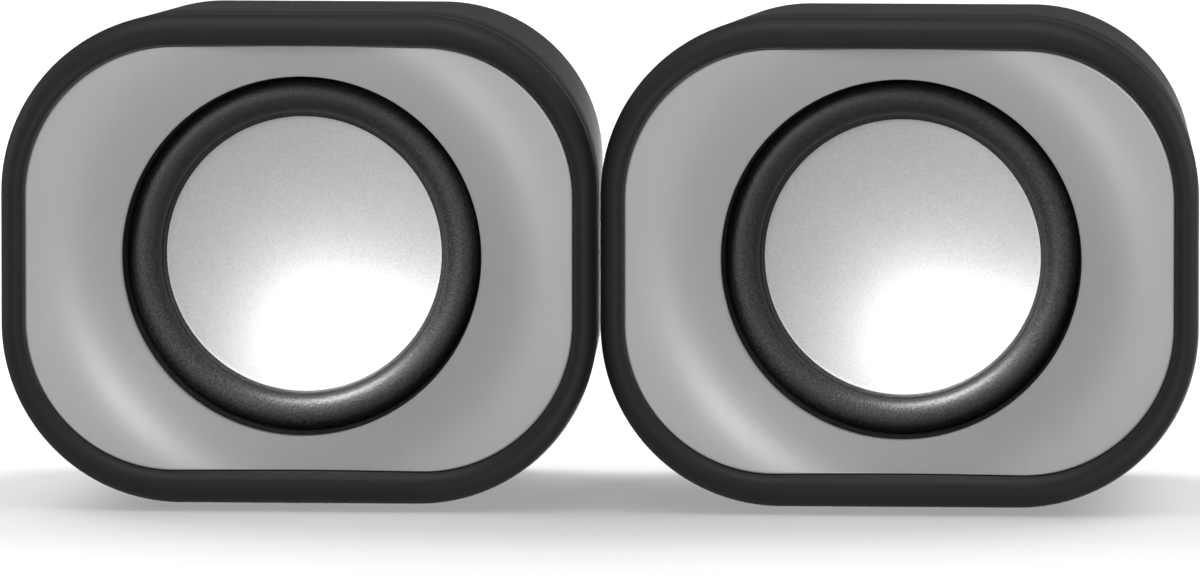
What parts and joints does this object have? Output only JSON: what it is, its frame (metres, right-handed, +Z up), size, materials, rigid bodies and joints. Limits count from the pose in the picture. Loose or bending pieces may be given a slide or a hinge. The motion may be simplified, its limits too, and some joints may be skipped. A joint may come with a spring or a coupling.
{
  "type": "desktop speakers",
  "caption": "Pair of small rounded desktop speakers with a silver dished front, a dished silver cone on a black half-roll surround, black shells and a rear volume knob.",
  "frame": {"origin": "centre of the pair's box, on the surface that the feet stand on", "axes": "+X from the left speaker to the right one, as the listener sees them; the fronts face -Y; +Z up"},
  "size_m": [0.16, 0.0767, 0.0665],
  "materials": {
    "moulding": "fine satin black moulding",
    "trim": "satin silver paint with a faint vertical brushing",
    "cone": "satin silver dish with a fine grain",
    "surround": "grainy black rubber",
    "foot": "matt black rubber",
    "grommet": "matt black rubber",
    "steel": "zinc plated pressed steel",
    "screw": "plated screw steel",
    "ferrite": "dull dark ferrite",
    "foam": "open black foam",
    "spider_cloth": "resin-stiffened amber cloth",
    "coil": "lacquered copper winding",
    "tag_board": "brown phenolic board",
    "red_wire": "soft red insulation",
    "black_wire": "soft black insulation",
    "circuit_board": "green solder mask",
    "chip": "moulded epoxy",
    "capacitor": "dark blue sleeve",
    "knob": "satin black with fine ribs"
  },
  "bodies": {
    "right_cabinet": {"right_front_frame": "moulding", "right_baffle_trim": "trim", "right_rear_shell": "moulding", "right_front_foot": "foot", "right_rear_foot": "foot", "right_basket": "steel", "right_gasket": "foam", "right_surround": "surround", "right_spider": "spider_cloth", "right_top_plate": "steel", "right_magnet": "ferrite", "right_yoke": "steel", "right_terminal_strip": "tag_board", "right_lead_plus": "red_wire", "right_lead_minus": "black_wire", "right_cord_grommet": "grommet", "right_driver_screw_1": "screw", "right_case_screw_1": "screw", "right_driver_screw_2": "screw", "right_case_screw_2": "screw", "right_driver_screw_3": "screw", "right_case_screw_3": "screw", "right_driver_screw_4": "screw", "right_case_screw_4": "screw", "right_supply_grommet": "grommet", "right_amp_board": "circuit_board", "right_amp_chip": "chip", "right_capacitor": "capacitor", "right_potentiometer": "steel", "right_pot_nut": "screw"},
    "left_cabinet": {"left_front_frame": "moulding", "left_baffle_trim": "trim", "left_rear_shell": "moulding", "left_front_foot": "foot", "left_rear_foot": "foot", "left_basket": "steel", "left_gasket": "foam", "left_surround": "surround", "left_spider": "spider_cloth", "left_top_plate": "steel", "left_magnet": "ferrite", "left_yoke": "steel", "left_terminal_strip": "tag_board", "left_lead_plus": "red_wire", "left_lead_minus": "black_wire", "left_cord_grommet": "grommet", "left_driver_screw_1": "screw", "left_case_screw_1": "screw", "left_driver_screw_2": "screw", "left_case_screw_2": "screw", "left_driver_screw_3": "screw", "left_case_screw_3": "screw", "left_driver_screw_4": "screw", "left_case_screw_4": "screw"},
    "right_cone_assembly": {"right_cone": "cone", "right_voice_coil": "coil"},
    "left_cone_assembly": {"left_cone": "cone", "left_voice_coil": "coil"},
    "volume_control": {"right_volume_knob": "knob", "right_pot_shaft": "steel"}
  },
  "joints": [
    {"name": "left_speaker_slide", "type": "slide", "parent": "right_cabinet", "child": "left_cabinet", "axis": [-1, 0, 0], "range_m": [0, 0.4]},
    {"name": "right_cone_travel", "type": "slide", "parent": "right_cabinet", "child": "right_cone_assembly", "axis": [0, -1, 0], "range_m": [-0.0015, 0.0015], "stiffness_N_per_m": 1500, "deforming": ["right_surround", "right_spider"]},
    {"name": "left_cone_travel", "type": "slide", "parent": "left_cabinet", "child": "left_cone_assembly", "axis": [0, -1, 0], "range_m": [-0.0015, 0.0015], "stiffness_N_per_m": 1500, "deforming": ["left_surround", "left_spider"]},
    {"name": "volume_turn", "type": "hinge", "parent": "right_cabinet", "child": "volume_control", "pos_m": [0.0401, 0.0285, 0.04375], "axis": [0, 1, 0], "range_deg": [-150, 150]}
  ]
}
